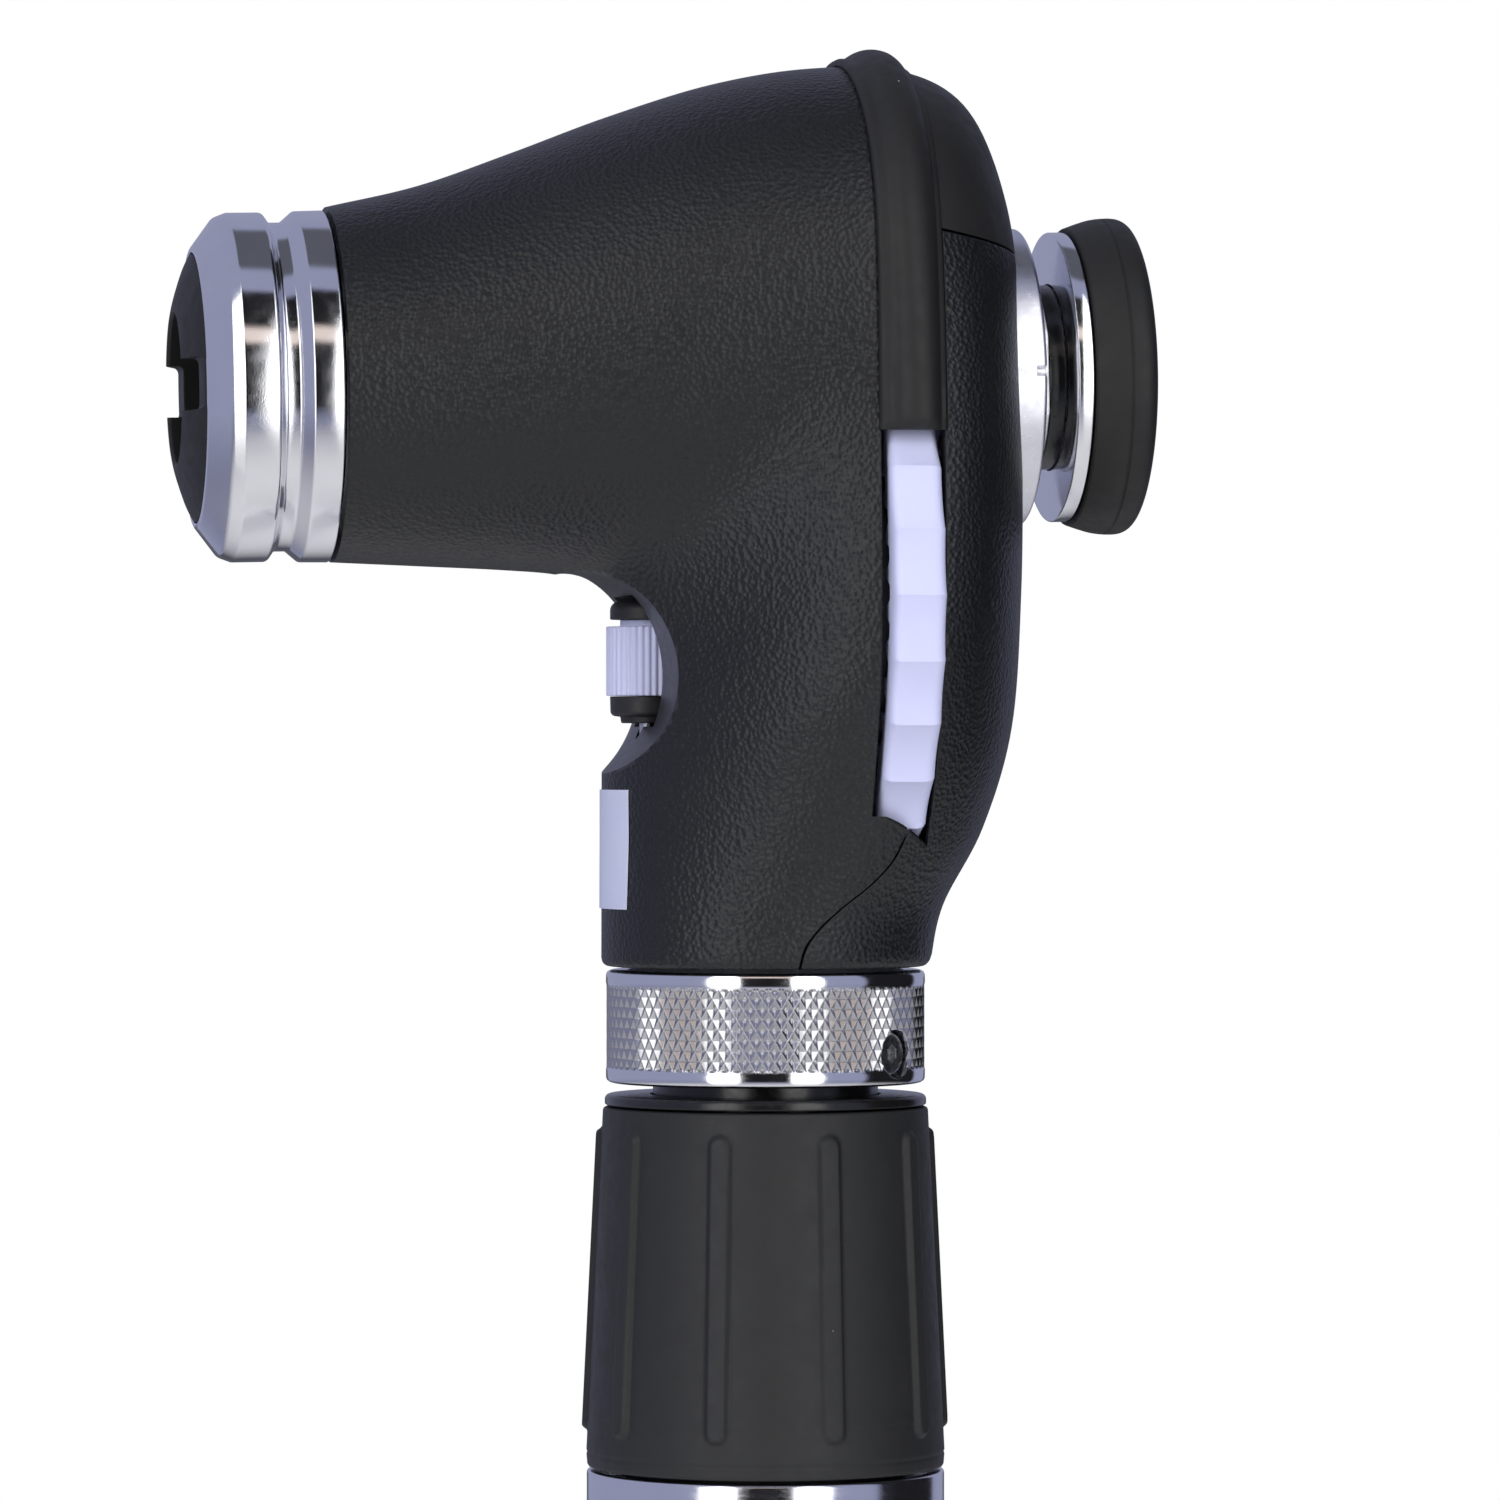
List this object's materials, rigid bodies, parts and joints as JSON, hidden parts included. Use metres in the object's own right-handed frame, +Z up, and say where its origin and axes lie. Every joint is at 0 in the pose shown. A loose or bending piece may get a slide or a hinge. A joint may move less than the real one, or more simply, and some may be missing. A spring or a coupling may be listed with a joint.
{
  "type": "ophthalmoscope",
  "caption": "Hand-held ophthalmoscope: battery handle with twist brightness sleeve, bayonet head with focusing wheel, aperture dial, patient-side lens and rubber eyecup.",
  "frame": {"origin": "centre of the handle's flat base, on the handle's axis", "axes": "+Z up the handle, +X along the line of sight towards the practitioner's eyecup, -X towards the patient"},
  "size_m": [0.0833, 0.0496, 0.2297],
  "materials": {
    "chrome": "polished",
    "satin_aluminium": "satin",
    "brass": "satin",
    "spring_steel": "satin",
    "black_plastic": "fine leather grain",
    "gloss_black": "gloss",
    "black_rubber": "matt, smooth",
    "lavender_plastic": "satin",
    "grey_plastic": "satin",
    "label": "satin",
    "battery_wrap": "satin",
    "lens_glass": "coated",
    "mirror": "polished"
  },
  "bodies": {
    "handle": {"handle_barrel": "chrome", "insulating_sleeve": "grey_plastic", "battery_pack": "battery_wrap", "battery_terminal": "brass", "rheostat_body": "black_plastic", "rheostat_track": "grey_plastic", "handle_top_ring": "gloss_black", "bayonet_boss": "gloss_black", "contact_insulator": "grey_plastic", "contact_spring": "spring_steel", "supply_rod": "brass"},
    "end_cap": {"end_cap": "chrome", "end_cap_seal": "black_rubber", "charging_bushing": "black_plastic", "charging_contact": "brass", "battery_spring": "spring_steel"},
    "brightness_sleeve": {"brightness_sleeve": "black_rubber", "rheostat_wiper": "brass", "lock_button_spring": "spring_steel"},
    "lock_button": {"lock_button": "lavender_plastic"},
    "contact_pin": {"contact_pin": "brass"},
    "head": {"coupling_collar": "chrome", "collar_set_screw": "spring_steel", "bayonet_socket": "satin_aluminium", "lamp_socket": "grey_plastic", "lamp_base": "brass", "lamp_bulb": "lens_glass", "light_tube": "black_plastic", "condenser_lens": "lens_glass", "aperture_bracket": "satin_aluminium", "projection_lens": "lens_glass", "projection_lens_holder": "black_plastic", "front_housing": "black_plastic", "rear_cover": "black_plastic", "brow_rest": "black_rubber", "label_plate": "label", "front_ring": "chrome", "front_bezel": "black_plastic", "objective_lens": "lens_glass", "objective_cell": "black_plastic", "front_bulkhead": "satin_aluminium", "rear_bulkhead": "satin_aluminium", "guide_rail": "spring_steel", "mirror": "mirror", "mirror_holder": "satin_aluminium", "wheel_guide": "grey_plastic", "eyepiece_flange": "satin_aluminium", "eyepiece_neck": "satin_aluminium", "eyepiece_ring": "chrome", "eyecup": "black_rubber", "eyepiece_lens": "lens_glass"},
    "focus_wheel": {"focus_wheel": "lavender_plastic"},
    "focus_screw": {"focus_pinion": "brass", "focus_screw": "spring_steel"},
    "lens_carriage": {"lens_carriage": "black_plastic", "focus_lens": "lens_glass"},
    "aperture_dial": {"aperture_dial": "lavender_plastic", "dial_axle": "spring_steel"},
    "aperture_wheel": {"aperture_wheel": "satin_aluminium"}
  },
  "joints": [
    {"name": "end_cap_turn", "type": "hinge", "parent": "handle", "child": "end_cap", "pos_m": [0, 0, 0], "axis": [0, 0, 1], "range_deg": [0, 360]},
    {"name": "brightness_turn", "type": "hinge", "parent": "handle", "child": "brightness_sleeve", "pos_m": [0, 0, 0.12], "axis": [0, 0, 1], "range_deg": [0, 120]},
    {"name": "lock_button_press", "type": "slide", "parent": "brightness_sleeve", "child": "lock_button", "axis": [0.3746, -0.9272, 0], "range_m": [0, 0.0006], "stiffness_N_per_m": 300, "springref_m": -0.0008},
    {"name": "contact_pin_press", "type": "slide", "parent": "handle", "child": "contact_pin", "axis": [0, 0, -1], "range_m": [0, 0.0015], "stiffness_N_per_m": 250, "springref_m": -0.0015, "deforming": ["contact_spring"]},
    {"name": "head_twist", "type": "hinge", "parent": "handle", "child": "head", "pos_m": [0, 0, 0.1446], "axis": [0, 0, 1], "range_deg": [0, 30]},
    {"name": "focus_wheel_turn", "type": "hinge", "parent": "head", "child": "focus_wheel", "pos_m": [0.0084, 0, 0.1825], "axis": [1, 0, 0], "range_deg": [-150, 150]},
    {"name": "focus_screw_turn", "type": "hinge", "parent": "head", "child": "focus_screw", "pos_m": [0.0084, 0.01004, 0.19684], "axis": [1, 0, 0], "range_deg": [-960, 960]},
    {"name": "lens_carriage_slide", "type": "slide", "parent": "head", "child": "lens_carriage", "axis": [1, 0, 0], "range_m": [-0.0044, 0.0044]},
    {"name": "aperture_dial_turn", "type": "hinge", "parent": "head", "child": "aperture_dial", "pos_m": [-0.0102, 0, 0.178], "axis": [0, 0, 1], "continuous": true},
    {"name": "aperture_wheel_turn", "type": "hinge", "parent": "head", "child": "aperture_wheel", "pos_m": [0.00517, 0, 0.1865], "axis": [0, 0, 1], "continuous": true}
  ],
  "couplings": [
    {"joint": "focus_screw_turn", "follows": "focus_wheel_turn", "ratio": 6},
    {"joint": "lens_carriage_slide", "follows": "focus_wheel_turn", "m_per_rad": 0.0016234},
    {"joint": "aperture_wheel_turn", "follows": "aperture_dial_turn", "ratio": -0.24242}
  ]
}
